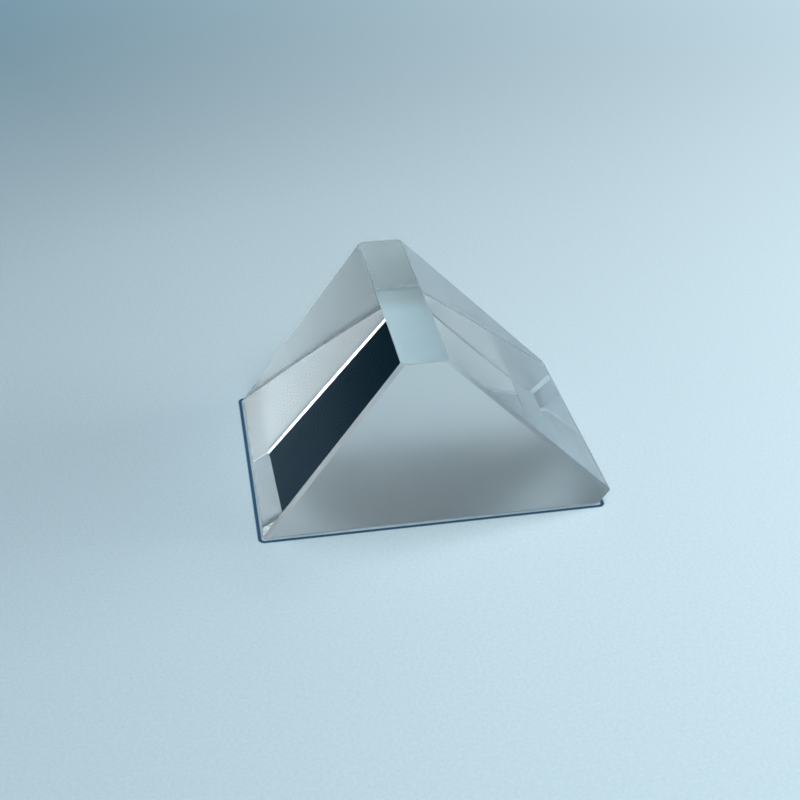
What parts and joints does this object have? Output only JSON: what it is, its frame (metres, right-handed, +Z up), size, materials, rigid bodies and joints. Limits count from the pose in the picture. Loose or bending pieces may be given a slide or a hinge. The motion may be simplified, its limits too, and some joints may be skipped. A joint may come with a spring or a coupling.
{
  "type": "right angle prism",
  "caption": "Right angle prism of clear optical glass lying on its hypotenuse face, with a narrow flat along the apex edge, a blunted right edge and fine-ground triangular ends.",
  "frame": {"origin": "on the hypotenuse face, below the middle of the prism's bounding box", "axes": "+Z up, out of the hypotenuse face towards the apex edge; +Y along the prism, from one ground end face to the other; +X across the section, towards the blunted edge"},
  "size_m": [0.0276, 0.02, 0.0147],
  "materials": {
    "optical_glass": "polished long faces, fine-ground end faces and chamfers"
  },
  "bodies": {
    "root": {"prism": "optical_glass"}
  },
  "joints": []
}
